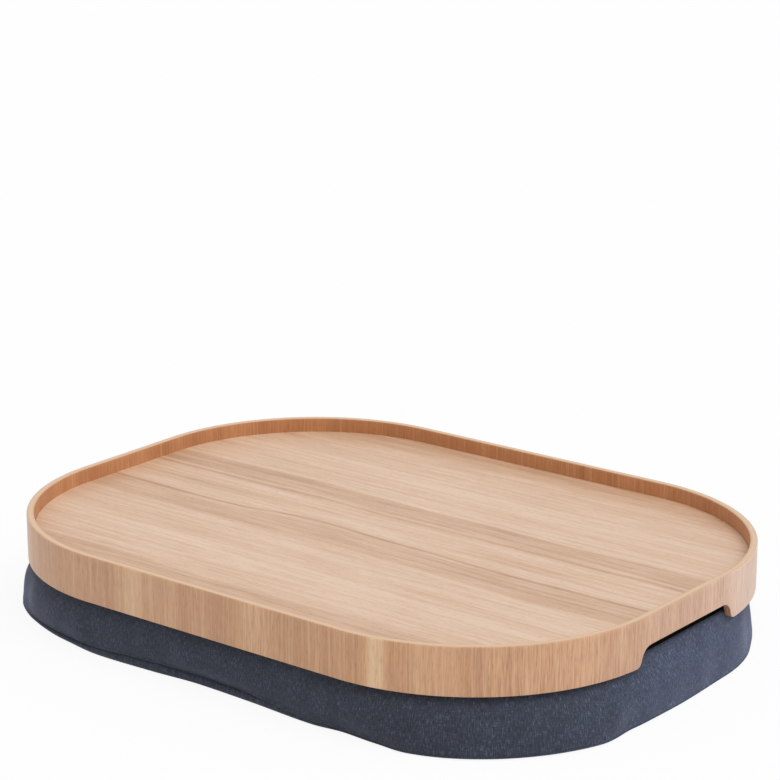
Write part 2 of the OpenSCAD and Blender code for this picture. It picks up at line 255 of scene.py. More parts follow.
def upright_oak(name, colours, strips, lines, painted_sheen_share, ring_share, cream, seed):
    """Sliced oak under matt lacquer, grain upright. Tone, lines and a painted sheen go by the way round."""
    made, tree, shader = new_material(name)
    parts = add(tree, "SeparateXYZ", {0: add(tree, "UVMap", uv_map="grain")}, "all")
    # The grain wanders sideways by up to 0.8 mm, in cells of 25 by 40 mm
    plain_place = add(tree, "CombineXYZ", {0: parts[0], 1: parts[1]})
    wander = stretched(tree, plain_place, (25, 40), 1, (0, 0), 0.5)
    wander = add(tree, "MapRange", {"Value": wander, 3: -0.8 * MM, 4: 0.8 * MM})
    way = add(tree, "Math", {0: parts[0], 1: wander}, operation="ADD")
    place = add(tree, "CombineXYZ", {0: way, 1: parts[1]})

    def figure(width_mm, length_mm, detail, shift):
        return stretched(tree, place, (width_mm, length_mm), detail, (seed + shift, seed - shift))

    def centred(*shape):
        return add(tree, "Math", {0: figure(*shape), 1: 0.5}, operation="SUBTRACT")

    def by_way(stops):
        share = add(tree, "Math", {0: way, 1: ROUND}, operation="DIVIDE")
        return add(tree, "ValToRGB", {"Fac": share}, stops=[(u * MM / ROUND, v) for u, v in stops])

    tone = by_way(strips)
    # Growth rings have tones of their own: broad ones, and narrow ones in them
    for shape in ((12, 600, 0, 3.7), (2.5, 240, 1, 11.3)):
        tone = add(tree, "Math", {0: centred(*shape), 1: ring_share, 2: tone}, operation="MULTIPLY_ADD")
    pores = centred(0.75, 16, 2, 23.9)
    drawn = add(tree, "Math", {0: pores, 1: by_way(lines), 2: tone}, operation="MULTIPLY_ADD")
    # Open pores: short dark dashes, real ones 0.2 mm wide, drawn 0.5 mm wide so that they show
    dashes = figure(0.55, 7, 1, 41.7)
    dashes = add(tree, "MapRange", {"Value": dashes, 1: 0.6, 2: 0.75, 3: 0, 4: 0.22})
    drawn = add(tree, "Math", {0: drawn, 1: dashes}, operation="ADD")
    wood = add(tree, "ValToRGB", {"Fac": drawn}, stops=list(zip((0, 0.3, 0.5, 0.7, 1), colours)))
    # Long pale lines where a slow noise crosses its middle
    ridge = add(tree, "Math", {0: centred(6, 900, 0, 31.1)}, operation="ABSOLUTE")
    ridge = add(tree, "MapRange", {"Value": ridge, 1: 0, 2: 0.018, 3: 0.4, 4: 0})
    wood = add(tree, "Mix", {"Factor": ridge, 6: wood, 7: linear(cream)}, 2, data_type="RGBA")
    # Painted sheen: a pale, pinkish copy of the same grain, mixed in where the lacquer is seen at a grazing
    # angle
    painted_sheen = add(tree, "ValToRGB", {"Fac": drawn}, stops=[
        (0, "#EBD5C9"), (0.5, "#DBBFB1"), (1, "#B5907E")])
    wood = add(tree, "Mix", {"Factor": by_way(painted_sheen_share), 6: wood, 7: painted_sheen}, 2, data_type="RGBA")
    rough = add(tree, "MapRange", {"Value": pores, 1: -0.2, 2: 0.2, 3: 0.5, 4: 0.4})
    bump = add(tree, "Bump", {"Height": pores, "Strength": 0.3, "Distance": 0.05 * MM})
    feed(tree, shader, {"Base Color": wood, "Roughness": rough, "Normal": bump, "IOR": 1.5})
    return made


# The outer strip: tan, with a few paler and browner strips, and fine broken lines at the front corner.
# Each list pairs mm round with a share.
outer_strips = [(0, 0.15), (110, 0.2), (150, 0.42), (180, 0.52), (258, 0.53), (263, 0.34), (274, 0.34),
                (279, 0.5), (304, 0.54), (308, 0.59), (345, 0.6), (350, 0.46), (378, 0.5), (383, 0.56),
                (437, 0.55), (440, 0.22), (450, 0.22), (453, 0.68), (463, 0.64), (467, 0.4), (484, 0.44),
                (490, 0.6), (507, 0.6), (511, 0.54), (555, 0.58), (600, 0.6), (640, 0.62), (705, 0.45),
                (800, 0.4), (950, 0.55), (1100, 0.4), (1300, 0.15)]
outer_lines = [(0, 1), (120, 1), (170, 0.45), (350, 0.45), (355, 0.9), (375, 0.9), (380, 0.4), (505, 0.6),
               (510, 1), (553, 1), (560, 0.8), (690, 0.9), (800, 1), (1300, 1)]
# Painted sheen: a pale pinkish veil over the grain round the left end and the right end
outer_painted_sheen = [(0, 0.9), (60, 0.9), (120, 0.75), (170, 0.15), (440, 0), (560, 0.1), (600, 0.22),
                 (640, 0.37), (680, 0.44), (710, 0.69), (740, 0.7), (800, 0.35), (1300, 0.9)]
outer_oak = upright_oak("oak_veneer_outer", ("#E9C8A1", "#DBAF86", "#CF9E76", "#C08E69", "#AB7759"),
                        outer_strips, outer_lines, outer_painted_sheen, 0.27, "#E6C49B", 4)
# The inner strip: a deeper orange tan, quieter, with one dark line in the back side
inner_strips = [(0, 0.5), (240, 0.45), (430, 0.55), (640, 0.5), (936.5, 0.5), (938, 0.8), (941, 0.8),
                (942.5, 0.5), (1150, 0.55), (1300, 0.5)]
inner_lines = [(0, 0.4), (1300, 0.4)]
inner_painted_sheen = [(0, 0), (1300, 0)]
inner_oak = upright_oak("oak_veneer_inner", ("#DCAC7E", "#CC9265", "#C08457", "#B2764B", "#A0653F"),
                        inner_strips, inner_lines, inner_painted_sheen, 0.3, "#DFB086", 57)


def edge_layers(name, stops, speckle_mm):
    """Wood layers on edge, coloured by their depth from the outer face."""
    made, tree, shader = new_material(name)
    depth_mm = add(tree, "Attribute", out="Fac", attribute_name="depth", attribute_type="GEOMETRY")
    speckle = add(tree, "TexNoise", {"Scale": 1 / (speckle_mm * MM), "Detail": 2})
    ragged = add(tree, "Math", {0: speckle, 1: 0.12, 2: depth_mm}, operation="MULTIPLY_ADD")
    across = add(tree, "Math", {0: ragged, 1: WALL_T / MM}, operation="DIVIDE")
    layers = add(tree, "ValToRGB", {"Fac": across}, stops=stops)
    bump = add(tree, "Bump", {"Height": speckle, "Strength": 0.2, "Distance": 0.05 * MM})
    feed(tree, shader, {"Base Color": layers, "Normal": bump, "Roughness": 0.5})
    return made


# Veneered ply on its top edge, sanded fine and lacquered, drawn as a pale copy of the sawn layers: painted
# light where the edge faces up, the glue lines only just seen
lit_top_edge = edge_layers("ply_edge_painted_lit", [
    (0, "#D9B38D"), (0.14, "#D9B38D"), (0.17, "#D3AB85"), (0.2, "#DDBA98"), (0.37, "#DFBC9B"),
    (0.4, "#D9B593"), (0.43, "#E2C1A2"), (0.6, "#E2C1A2"), (0.63, "#D8B491"), (0.66, "#DDB998"),
    (0.83, "#DBB694"), (0.86, "#D2AA84"), (0.89, "#D6AE88"), (1, "#D8B18B")], 3)
# The same ply sawn across at the grips and underneath: reddish brown layers, darker than the top edge as
# painted shade, with dark glue lines, between the pale veneers
shaded_sawn_edge = edge_layers("ply_edge_sawn_painted_shade", [
    (0, "#DDB48E"), (0.125, "#D9AF89"), (0.145, "#8F6248"), (0.17, "#B98664"), (0.36, "#BD8A67"),
    (0.378, "#8A5B40"), (0.4, "#D0A17C"), (0.6, "#CE9F7A"), (0.622, "#8A5B40"), (0.645, "#BD8A67"),
    (0.845, "#B98664"), (0.86, "#8F6248"), (0.88, "#D9AF89"), (1, "#DDB48E")], 0.8)

for made in (outer_oak, inner_oak, lit_top_edge, shaded_sawn_edge):
    rim.data.materials.append(made)
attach(rim, "tray")
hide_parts("rim_outer_veneer", "rim_outer_ply", "rim_middle_ply", "rim_inner_ply", "rim_inner_veneer")

# Panel: a board of oak veneer on a core, its grain along the tray. A few grey-brown bands run
# through the middle of its width, and one of two wavy dark lines rises left of the middle.
PANEL_HALF_W = 160


def panel_oak(name):
    """Quarter-sliced oak under matt lacquer, the grain along the tray, in bands, lines and flecks."""
    made, tree, shader = new_material(name)
    place = add(tree, "TexCoord", out="Object")
    parts = add(tree, "SeparateXYZ", {0: place}, "all")
    x_mm = add(tree, "Math", {0: parts[0], 1: 1000}, operation="MULTIPLY")
    y_mm = add(tree, "Math", {0: parts[1], 1: 1000}, operation="MULTIPLY")

    def figure(length_mm, width_mm, detail, shift):
        return stretched(tree, place, (length_mm, width_mm), detail, (shift, -shift))

    def spot(x, half_length, y, half_width):
        # A soft spot, 1 at its middle
        off = add(tree, "Mapping", {"Vector": place, "Location": (-x / half_length, -y / half_width, 0),
                                    "Scale": (1000 / half_length, 1000 / half_width, 0)})
        both = add(tree, "VectorMath", {0: off, 1: off}, "Value", operation="DOT_PRODUCT")
        return add(tree, "Math", {0: math.exp(-1), 1: both}, operation="POWER")

    # The grain's slow waves, and its rise by 7 mm under the lower line
    waves = add(tree, "MapRange", {"Value": figure(110, 70, 1, 2.3), 3: -4, 4: 4})
    grain_y = add(tree, "Math", {0: y_mm, 1: waves}, operation="ADD")
    rise = spot(-30, 52, -13, 17)
    grain_y = add(tree, "Math", {0: rise, 1: -7, 2: grain_y}, operation="MULTIPLY_ADD")
    spread = add(tree, "MapRange", {"Value": grain_y, 1: -PANEL_HALF_W, 2: PANEL_HALF_W})

    def across(stops):
        return add(tree, "ValToRGB", {"Fac": spread}, stops=[
            ((y + PANEL_HALF_W) / (2 * PANEL_HALF_W), share) for y, share in stops])

    # Bands by their distance from the middle line, in mm, as shares of full darkness. From 130 mm to the back
    # wall at 160 mm they darken further as painted shade from that wall.
    dark = across([(-160, 0.3), (-138, 0.4), (-130, 0.55), (-124, 0.2), (-92, 0.08), (-84, 0.02), (-72, 0.2),
                   (-60, 0.12), (-44, 0.15), (-40, 0.42), (-30, 0.4), (-22, 0.36), (-19.5, 0.2), (-17.5, 0.8),
                   (-15, 0.2), (-8, 0.1), (4, 0.22), (14, 0.15), (21, 0.2), (24, 0.62), (26.5, 0.22),
                   (30, 0.44), (46, 0.5), (48.5, 0.12), (70, 0.18), (88, 0.05), (104, 0.19), (130, 0.22),
                   (137, 0.36), (160, 0.42)])
    patches = figure(70, 9, 2, 7.1)
    patches = add(tree, "MapRange", {"Value": patches, 1: 0.3, 2: 0.65, 3: 0.7, 4: 1.12})
    tone = add(tree, "Math", {0: dark, 1: patches}, operation="MULTIPLY")
    # Fine lines side by side under the lower line, in the right half
    fine = across([(-44, 0), (-42.5, 0.5), (-41, 0), (-34.5, 0), (-33, 0.6), (-31.5, 0), (-28.4, 0),
                   (-27, 0.8), (-25.6, 0), (-23.4, 0), (-22, 0.9), (-20.6, 0)])
    right_half = add(tree, "MapRange", {"Value": x_mm, 1: 0, 2: 70, 3: 0, 4: 0.4})
    tone = add(tree, "Math", {0: fine, 1: right_half, 2: tone}, operation="MULTIPLY_ADD")
    for x, half_length in ((-140, 42), (105, 38)):
        darker = spot(x, half_length, 2, 6)
        tone = add(tree, "Math", {0: darker, 1: 0.2, 2: tone}, operation="MULTIPLY_ADD")
    # Painted shade: browner towards the left end, away from the lamps; and what is small, each taken from one
    # range to another
    added = {}
    for kind, value, least, most, low, high in (
            ("painted_left_shade", x_mm, -200, -40, 0.13, 0),
            ("streaks", figure(90, 3.2, 2, 13.7), 0.35, 0.7, -0.08, 0.15),
            ("pores", figure(14, 0.8, 3, 19.9), 0.3, 0.7, -0.09, 0.1),
            ("flecks", figure(4, 0.9, 0, 29.3), 0.66, 0.76, 0, 0.14)):
        added[kind] = add(tree, "MapRange", {"Value": value, 1: least, 2: most, 3: low, 4: high})
        tone = add(tree, "Math", {0: tone, 1: added[kind]}, operation="ADD")
    wood = add(tree, "ValToRGB", {"Fac": tone}, stops=[
        (0, "#E5C8AE"), (0.22, "#DCB89B"), (0.5, "#CDA686"), (0.8, "#B99172"), (1, "#A98163")])
    bump = add(tree, "Bump", {"Height": added["pores"], "Strength": 0.2, "Distance": 0.05 * MM})
    feed(tree, shader, {"Base Color": wood, "Normal": bump, "Roughness": 0.45, "IOR": 1.5})
    return made


def dress(made, material):
    """Gives a mesh object one material alone."""
    made.data.materials.clear()
    made.data.materials.append(material)


face_oak = panel_oak("oak_veneer_panel")
core_board, tree, shader = new_material("panel_core_board")
# The core's plies, a dark and a pale one to each 2.4 mm
layers = add(tree, "TexWave", {"Vector": add(tree, "TexCoord", out="Object"), "Scale": 1 / (7.6 * MM),
                               "Distortion": 0.4}, 1, bands_direction="Z")
layers = add(tree, "ValToRGB", {"Fac": layers}, stops=[(0.2, "#A97B58"), (0.7, "#CFA57F")])
feed(tree, shader, {"Base Color": layers, "Roughness": 0.6})
dress(nodes["panel_face_veneer"], face_oak)
dress(nodes["panel_back_veneer"], face_oak)
dress(nodes["panel_core"], core_board)

# Cushion cover: a side band and a bottom in slate canvas of mixed yarns, and a top in thin black cloth, whose
# black is painted shade for the hollow under the panel, sewn inside out and turned. Loose beads fill it, so
# its side is full, low and uneven.
cover_top_low, cover_top_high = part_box("cover_top")
bottom_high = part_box("cover_bottom")[1]
strip_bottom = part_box("loop_strip_front")[0].z
SEAM_TOP_Z = cover_top_low.z
SEAM_BOTTOM_Z = bottom_high.z
FLAT_INSET = 52 * MM
CROWN_RUN = 43 * MM
HOLLOW_DEEP = 0.25 * MM
# The cloth's distance from the wood, and how deep the strips sink in it
CLEAR = 0.3 * MM
STRIP_SINK = 0.15 * MM
TOUCH = WALL_T + CLEAR

# Points down the cover's side, from the top panel round to the bottom one, in mm: inset, height,
# shares of the fullness and of the foot's reach, more fullness at the zip, at a grip the drop and the
# way out, and the share of the seam's rise
side_profile = [
    (26, (strip_bottom - STRIP_SINK) / MM, 0, 0, 0, 0, 0, 0),
    (20, SEAM_TOP_Z / MM + 1.7, 0, 0, 0, -9.6, 0, 0),
    (14, SEAM_TOP_Z / MM, 0, 0, 0, -6.8, 0, 0),
    (9.5, SEAM_TOP_Z / MM - 2.3, 0, 0, 0, -4.7, 0, 0),
    (6.6, SEAM_TOP_Z / MM - 5, 0, 0, 0, -0.8, 0.6, 0),
    (TOUCH / MM, (rim_low.z - CLEAR) / MM, 0, 0, 0, 1.6, 1.2, 0),
    (4.1, 31, 0.1, 0, 2, 0, 1.2, 0),
    (3.2, 28, 0.35, 0, 3.2, 0, 0.8, 0),
    (2, 23.5, 0.7, 0, 2.4, 0, 0.3, 0),
    (0.8, 18, 0.88, 0.1, 1, 0, 0, 0),
    (0.2, 13, 0.7, 0.3, 0, 0, 0, 0.1),
    (0, 8.5, 0.35, 0.65, 0, 0, 0, 0.5),
    (0, 5.2, 0.1, 0.9, 0, 0, 0, 0.9),
    (0, 4.2, 0.05, 0.95, 0, 0, 0, 1),
    (0.1, SEAM_BOTTOM_Z / MM, 0, 1, 0, 0, 0, 1),
    (0, 2.2, 0, 1, 0, 0, 0, 0.7),
    (0.4, 1, 0, 1, 0, 0, 0, 0.2),
    (1.2, 0.25, 0, 1, 0, 0, 0, 0),
    (2.4, 0, 0, 1, 0, 0, 0, 0),
    (6, 0, 0, 0.9, 0, 0, 0, 0),
    (12, 0, 0, 0.5, 0, 0, 0, 0)]
side_profile = np.array(side_profile) * ([MM, MM, 1, 1, MM, MM, MM, 1])
TOP_SEAM_POINT, BOTTOM_SEAM_POINT = 4, 14
steps = np.hypot(np.diff(side_profile[:, 0]), np.diff(side_profile[:, 1]))
profile_way = np.concatenate([[0], np.cumsum(steps)])

# Round the tray from the left end's middle by the front, in mm: how far the side's fullest place,
# and the foot, stand out from the rim
full_side = [(0, 0.5), (60, 0.2), (90, 1.4), (122, 4.1), (165, 2), (230, 0.3), (330, -0.4), (400, 0.2),
             (450, 2.8), (490, 5.5), (540, 6.4), (575, 5.6), (610, 4.2), (651, 3.2), (692, 1.5),
             (735, -1.4), (775, -2.2), (830, -1), (880, 0.8), (1072, 0.8), (1165, 3), (1230, 1.5)]
foot = [(0, -1), (80, 1), (128, 4.7), (150, 2.5), (169, -0.4), (191, -2.7), (209, -3.8), (240, -2.1),
        (277, -3.5), (312, -5.9), (350, -4.8), (399, -2.1), (420, -4.3), (444, -1), (464, 4.3), (490, 6.3),
        (523, 7), (568, 7.3), (596, 2.3), (642, 3.5), (678, 2.3), (723, 0.4), (748, -1.2), (775, -0.7),
        (830, -1.5), (880, -2), (976, -4), (1072, -2), (1165, 1.5), (1230, 0)]
# How much higher than its plain place the bottom seam runs
seam_rise = [(0, -1.2), (130, -0.8), (155, -0.2), (175, 0.4), (230, 1.2), (270, 2.9), (335, 2.8), (375, 0.5),
             (400, -1), (430, -1.3), (700, -1.4), (860, -0.5), (1100, -0.5), (1200, -1)]
# How deep the bottom seam's groove is drawn in
seam_depth = [(0, 0.25), (150, 0.25), (180, 0.8), (340, 1), (380, 0.3), (1000, 0.25)]


def smooth(places, knots, values):
    """Monotone cubic interpolation through knots, so that nothing swings past a value."""
    slopes = np.diff(values) / np.diff(knots)
    tangents = np.zeros(len(knots))
    tangents[0], tangents[-1] = slopes[0], slopes[-1]
    same = slopes[:-1] * slopes[1:] > 0
    tangents[1:-1][same] = 2 / (1 / slopes[:-1][same] + 1 / slopes[1:][same])
    cell = np.clip(np.searchsorted(knots, places) - 1, 0, len(knots) - 2)
    width = knots[cell + 1] - knots[cell]
    t = (places - knots[cell]) / width
    return ((2 * t ** 3 - 3 * t ** 2 + 1) * values[cell] + (t ** 3 - 2 * t ** 2 + t) * width * tangents[cell]
            + (3 * t ** 2 - 2 * t ** 3) * values[cell + 1] + (t ** 3 - t ** 2) * width * tangents[cell + 1])


def round_tray(way, knots):
    """A smooth value at each way round, through (mm round, mm) knots that close into a ring."""
    places = np.array([k[0] for k in knots]) * MM
    values = np.array([k[1] for k in knots]) * MM
    places = np.concatenate([places[-2:] - ROUND, places, places[:2] + ROUND])
    values = np.concatenate([values[-2:], values, values[:2]])
    return smooth(np.mod(way, ROUND), places, values)


def ease(value, none, full):
    """0 at none, 1 at full, and smooth between."""
    t = np.clip((value - none) / (full - none), 0, 1)
    return t * t * (3 - 2 * t)


# From the middle, where each zone has ended and where it is whole
GRIP_ZONE = 56 * MM, 38 * MM
ZIP_ZONE = 122 * MM, 98 * MM


def zones(way):
    """How much each way round belongs to a grip, and to the zip's stretch of the back side."""
    x, y = outline(way, 0)
    at_grip = ease(np.abs(y), *GRIP_ZONE) * (np.abs(x) > LONG_HALF)
    at_zip = ease(np.abs(x), *ZIP_ZONE) * (y > SHORT_HALF)
    return at_grip, at_zip


def cushion_row(way, down):
    """Points of the cover at one place down its side, all the way round."""
    inset, z, full_share, foot_share, zip_more, grip_drop, grip_out, rise_share = (
        smooth(np.array([down]), profile_way, side_profile[:, k])[0] for k in range(side_profile.shape[1]))
    at_grip, at_zip = zones(way)
    reach = full_share * round_tray(way, full_side) + foot_share * round_tray(way, foot)
    reach += zip_more * at_zip + grip_out * at_grip
    x, y = outline(way, inset - reach)
    return np.stack([x, y, z + grip_drop * at_grip + rise_share * round_tray(way, seam_rise)], -1)


# The panels are laid as patches whose corners are the corners' middles
PATCH_LONG, PATCH_SHORT = 58, 42
corner_marks = [marks[k] + CORNER_WAY / 2 for k in (1, 3, 5, 7)] + [marks[1] + CORNER_WAY / 2 + ROUND]


def patch_ways(scale):
    """Ways round of the patches' edge points, front, right, back and left."""
    counts = [PATCH_LONG * scale, PATCH_SHORT * scale] * 2
    return np.concatenate([np.linspace(a, b, n, endpoint=False)
                           for a, b, n in zip(corner_marks, corner_marks[1:], counts)])


def patch_numbers(scale, ring_first=0, first_inside=0):
    """The vertex numbers of a patch in a grid, whose border is the ring's own vertices."""
    long_n, short_n = PATCH_LONG * scale, PATCH_SHORT * scale
    number = np.zeros((short_n + 1, long_n + 1), int)
    number[1:-1, 1:-1] = first_inside + np.arange((short_n - 1) * (long_n - 1)).reshape(short_n - 1, -1)
    front, right, back, left = np.split(ring_first + np.arange(2 * (long_n + short_n)),
                                        np.cumsum([long_n, short_n, long_n]))
    number[0, :-1] = front
    number[:-1, -1] = right
    number[-1, :0:-1] = back
    number[:0:-1, 0] = left
    return number


def fill_patch(ring, scale, height):
    """Points inside a ring, blended from its four sides, with heights from a function of (x, y)."""
    number = patch_numbers(scale)
    front, back, left, right = (ring[n, :2] for n in (number[0], number[-1], number[:, 0], number[:, -1]))
    s = np.linspace(0, 1, number.shape[1])[None, :, None]
    t = np.linspace(0, 1, number.shape[0])[:, None, None]
    flat = ((1 - t) * front[None] + t * back[None] + (1 - s) * left[:, None] + s * right[:, None]
            - (1 - s) * (1 - t) * front[0] - s * (1 - t) * front[-1]
            - (1 - s) * t * back[0] - s * t * back[-1])
    inside = flat[1:-1, 1:-1].reshape(-1, 2)
    return np.column_stack([inside, height(inside[:, 0], inside[:, 1])])


def top_height(x, y):
    """The top panel's height: flat under the tape, with a low crown inside it that is full of hollows."""
    past = np.hypot(np.maximum(np.abs(x) - LONG_HALF, 0), np.maximum(np.abs(y) - SHORT_HALF, 0))
    rise = ease(CORNER_R - past, FLAT_INSET, FLAT_INSET + CROWN_RUN)
    # Each set of hollows: waves to the metre along x and along y, and where it starts
    hollows = sum(1 + np.cos(2 * math.pi * (along_x * x + along_y * y) + start)
                  for along_x, along_y, start in ((7, 5, 0), (11, -13, 1.1), (-17, 4, 2.3)))
    crown = cover_top_high.z - CLEAR - strip_bottom
    return strip_bottom - STRIP_SINK + (crown - HOLLOW_DEEP * hollows) * rise


def closed_form(rows, scale, top=top_height, bottom=0.0):
    """Vertices and faces of a whole cushion from its side's rows."""
    row_n, ring_n = rows.shape[:2]
    above = fill_patch(rows[0], scale, top)
    below = fill_patch(rows[-1], scale, lambda x, y: np.full_like(x, bottom))
    vertices = np.vstack([rows.reshape(-1, 3), above, below])
    faces = [f[::-1] for f in ring_faces(row_n, ring_n)]
    faces += grid_faces(patch_numbers(scale, 0, row_n * ring_n))
    faces += [f[::-1] for f in grid_faces(
        patch_numbers(scale, (row_n - 1) * ring_n, row_n * ring_n + len(above)))]
    return vertices, faces


SIM_STEP = 3.2 * MM
FRAMES = 20
MOST_SHIFT = 1.5 * MM
# Heights where the cloth is held and where it is free, at the foot and under the rim
FOOT_HOLD = 5 * MM, 12 * MM
RIM_HOLD = rim_low.z - 1 * MM, rim_low.z - 6 * MM
sim_ways = patch_ways(1)
sim_down = np.linspace(0, profile_way[-1], int(profile_way[-1] / SIM_STEP) + 1)
sim_rows = np.array([cushion_row(sim_ways, d) for d in sim_down])
settled = sim_rows.copy()

# The free side settles under the fill's pressure, held at the rim, at the foot and round the zip
vertices, faces = closed_form(sim_rows, 1)
cloth_form = piece("cover_cloth", vertices, faces)
z = sim_rows[..., 2]
hold = 1 - ease(z, *FOOT_HOLD) * ease(z, *RIM_HOLD)
hold = np.maximum(hold, zones(sim_ways)[1][None])
weights = np.concatenate([hold.ravel(), np.ones(len(vertices) - hold.size)]).round(2)
group = cloth_form.vertex_groups.new(name="hold")
for value in np.unique(weights):
    group.add(np.nonzero(weights == value)[0].tolist(), float(value), "REPLACE")
cloth = cloth_form.modifiers.new("cloth", "CLOTH")
for name, value in (("quality", 6), ("mass", 0.25), ("tension_stiffness", 18),
                    ("compression_stiffness", 18), ("shear_stiffness", 6), ("bending_stiffness", 4),
                    ("vertex_group_mass", "hold"), ("use_pressure", True),
                    ("uniform_pressure_force", 4)):
    setattr(cloth.settings, name, value)
cloth.settings.effector_weights.gravity = 0
cloth.collision_settings.use_collision = False
cloth.point_cache.frame_start = 1
cloth.point_cache.frame_end = FRAMES
for step in range(1, FRAMES + 1):
    scene.frame_set(step)
graph = bpy.context.evaluated_depsgraph_get()
moved = np.array([v.co for v in cloth_form.evaluated_get(graph).data.vertices])[:z.size]
shift = moved.reshape(sim_rows.shape) - sim_rows
length = np.linalg.norm(shift, axis=-1, keepdims=True)
settled = sim_rows + shift * np.minimum(1, MOST_SHIFT / np.maximum(length, 1e-9))
bpy.data.objects.remove(cloth_form)
scene.frame_set(1)

# The settled cloth is drawn finer, with rows close together at the seams and the zip's opening
SCALE = 2
zip_low, zip_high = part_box("zip_tape_lower")[0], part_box("zip_tape_upper")[1]
slider_low, slider_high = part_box("zip_slider")
ZIP_Z = (zip_low.z + zip_high.z) / 2
# The opening clears the slider by 0.8 mm and hides 2 mm of the tapes at each end
SLOT_HALF_H = (slider_high.z - slider_low.z) / 2 + 0.8 * MM
SLOT_HALF_L = zip_high.x - 2 * MM
# The profile's points between which the side is open
FIRST_OPEN, LAST_OPEN = 4, -3


def down_at(z):
    """How far down the side a height lies, on its open part."""
    places = np.linspace(profile_way[FIRST_OPEN], profile_way[LAST_OPEN], 400)
    return float(np.interp(-z, -smooth(places, profile_way, side_profile[:, 1]), places))


seam_ways = (profile_way[TOP_SEAM_POINT], profile_way[BOTTOM_SEAM_POINT])
slot_ways = [down_at(ZIP_Z + SLOT_HALF_H), down_at(ZIP_Z - SLOT_HALF_H)]
FINE_ROWS = 34
SEAM_STEP, SLOT_STEP = 0.4 * MM, 0.8 * MM
FROM_MUST, LEAST_STEP = 0.3 * MM, 0.25 * MM
fine_down = set(np.linspace(0, profile_way[-1], FINE_ROWS))
for seam_way in seam_ways:
    fine_down |= {seam_way + k * SEAM_STEP for k in range(-6, 7)}
fine_down |= {way + k * SLOT_STEP for way in slot_ways for k in (-1, 0, 1)}
# A row on each seam and each edge of the opening is a must, and others stand off from it
must = np.array([*seam_ways, *slot_ways])
fine_down = [d for d in fine_down if np.abs(must - d).min() > FROM_MUST or d in must]
fine_down = np.array(sorted(fine_down))
crowded = np.concatenate([[False], np.diff(fine_down) < LEAST_STEP]) & ~np.isin(fine_down, must)
fine_down = fine_down[~crowded]


def catmull(values, places, wrap):
    """Catmull-Rom interpolation along the first axis, at fractional indices."""
    count = len(values)
    base = np.floor(places).astype(int)
    t = (places - base).reshape(-1, *[1] * (values.ndim - 1))

    def at(k):
        index = base + k
        return values[index % count] if wrap else values[np.clip(index, 0, count - 1)]

    a, b, c, d = at(-1), at(0), at(1), at(2)
    return 0.5 * (2 * b + (c - a) * t + (2 * a - 5 * b + 4 * c - d) * t ** 2
                  + (3 * b - a - 3 * c + d) * t ** 3)


fine_ways = patch_ways(SCALE)
ring_count = len(fine_ways)
at_grip, at_zip = zones(fine_ways)
wander = catmull(settled - sim_rows, fine_down / sim_down[1], wrap=False)
wander = catmull(wander.transpose(1, 0, 2), np.arange(ring_count) / SCALE, wrap=True).transpose(1, 0, 2)
base_rows = np.array([cushion_row(fine_ways, d) for d in fine_down])

# Two stations on the back side stand exactly at the opening's ends
back_columns = np.nonzero((base_rows[0, :, 1] > 0) & (np.abs(base_rows[0, :, 0]) < LONG_HALF))[0]
end_columns = []
for x in (SLOT_HALF_L, -SLOT_HALF_L):
    end_columns.append(back_columns[np.argmin(np.abs(base_rows[0, back_columns, 0] - x))])
    base_rows[:, end_columns[-1], 0] = x
fine_rows = base_rows + wander

# Uneven fill: slow swells round the open side, each a share of a millimetre
turn = np.interp(np.mod(fine_ways, ROUND), marks, mark_turn)
outward = np.stack([np.cos(turn), np.sin(turn), np.zeros(ring_count)], -1)
RIM_CALM = rim_low.z - 2 * MM, rim_low.z - 14 * MM
SEAM_CALM = SEAM_BOTTOM_Z, SEAM_BOTTOM_Z + 5 * MM
open_share = ease(fine_rows[..., 2], *RIM_CALM) * ease(fine_rows[..., 2], *SEAM_CALM)
swells = sum(size * MM * np.cos(2 * math.pi * turns * fine_ways / ROUND + phase)
             for size, turns, phase in ((0.4, 11, 2.1), (0.35, 17, 4.0), (0.3, 29, 1.2), (0.2, 47, 0.3)))
fine_rows = fine_rows + (open_share * swells * (1 - at_zip))[..., None] * outward

# Sewn seams: a narrow groove, with the cloth standing up 2.1 half-widths from its middle
GROOVE_HALF_W = 0.6 * MM
TOP_SEAM_DEEP = 0.6 * MM
WELT_SHARE, WELT_AT = 0.3, 2.1
for seam_way, deep in zip(seam_ways, (TOP_SEAM_DEEP, round_tray(fine_ways, seam_depth))):
    past = ((fine_down - seam_way) / GROOVE_HALF_W)[:, None]
    groove = (WELT_SHARE * np.exp(-(np.abs(past) - WELT_AT) ** 2) - np.exp(-past ** 2)) * deep
    fine_rows = fine_rows + groove[..., None] * outward

# The cover stays inside the rim, bulges a little at the grips, and stays on the lap
MOUTH_ZONE = 42 * MM, 34 * MM
MOUTH_OUT = 1.4 * MM
centre = np.stack(outline(fine_ways, CORNER_R), -1)
reach = np.einsum("rcd,cd->rc", fine_rows[..., :2] - centre[None], outward[:, :2])
in_mouth = ease(np.abs(base_rows[0, :, 1]), *MOUTH_ZONE) * at_grip
most = np.where(fine_rows[..., 2] > rim_low.z - CLEAR, CORNER_R - TOUCH + MOUTH_OUT * in_mouth, np.inf)
fine_rows[..., :2] += (np.minimum(reach, most) - reach)[..., None] * outward[None, :, :2]
fine_rows[..., 2] = np.maximum(fine_rows[..., 2], 0)

vertices, faces = closed_form(fine_rows, SCALE)
cover = piece("cushion_cover", vertices, faces, 60)

